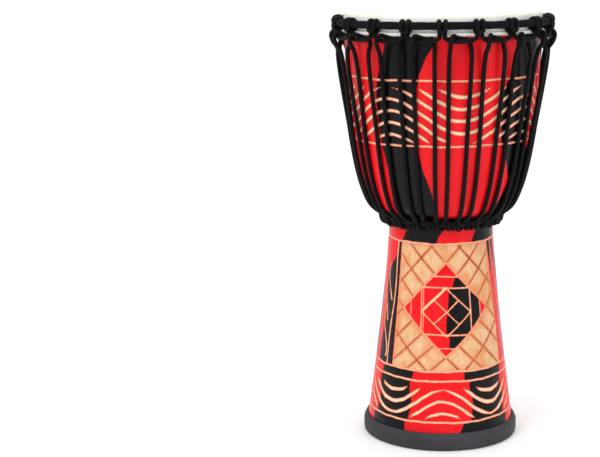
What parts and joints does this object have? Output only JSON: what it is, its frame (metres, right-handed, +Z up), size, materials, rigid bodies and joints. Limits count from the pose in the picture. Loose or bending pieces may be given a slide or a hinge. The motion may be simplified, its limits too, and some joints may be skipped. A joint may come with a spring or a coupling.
{
  "type": "djembe",
  "caption": "Rope-tuned goblet hand drum: carved hollow wooden shell, goat-skin head held by rope hitches on a crown ring, straight black lacing, rubber foot ring.",
  "frame": {"origin": "centre of the foot ring's underside, on the floor", "axes": "+Z up along the drum's axis to the head; -Y is the front, the side with the carved diamond panel"},
  "size_m": [0.3092, 0.309, 0.5983],
  "materials": {
    "red_lacquer": "carved hardwood in gloss red and black lacquer, with raw wood panels and grooves",
    "goat_skin": "shaved goat rawhide, matt",
    "black_rope": "braided polyester rope, matt black",
    "black_cloth": "black cloth tape wound round the ring",
    "steel_rod": "plain welded rod, dull",
    "black_steel": "black enamel on welded rod",
    "rubber": "moulded rubber, matt dark grey"
  },
  "bodies": {
    "drum_body": {"shell": "red_lacquer", "rubber_foot_ring": "rubber", "drum_head": "goat_skin", "lacing_rope": "black_rope", "lower_cradle_rope": "black_rope", "lacing_knot": "black_rope", "lower_ring": "black_steel"},
    "tuning_hoop": {"crown_ring": "steel_rod", "crown_ring_wrap": "black_cloth", "upper_cradle_rope": "black_rope", "flesh_hoop": "steel_rod"}
  },
  "joints": [
    {"name": "head_tension", "type": "slide", "parent": "drum_body", "child": "tuning_hoop", "axis": [0, 0, 1], "range_m": [-0.006, 0], "deforming": ["lacing_rope", "drum_head"]}
  ]
}
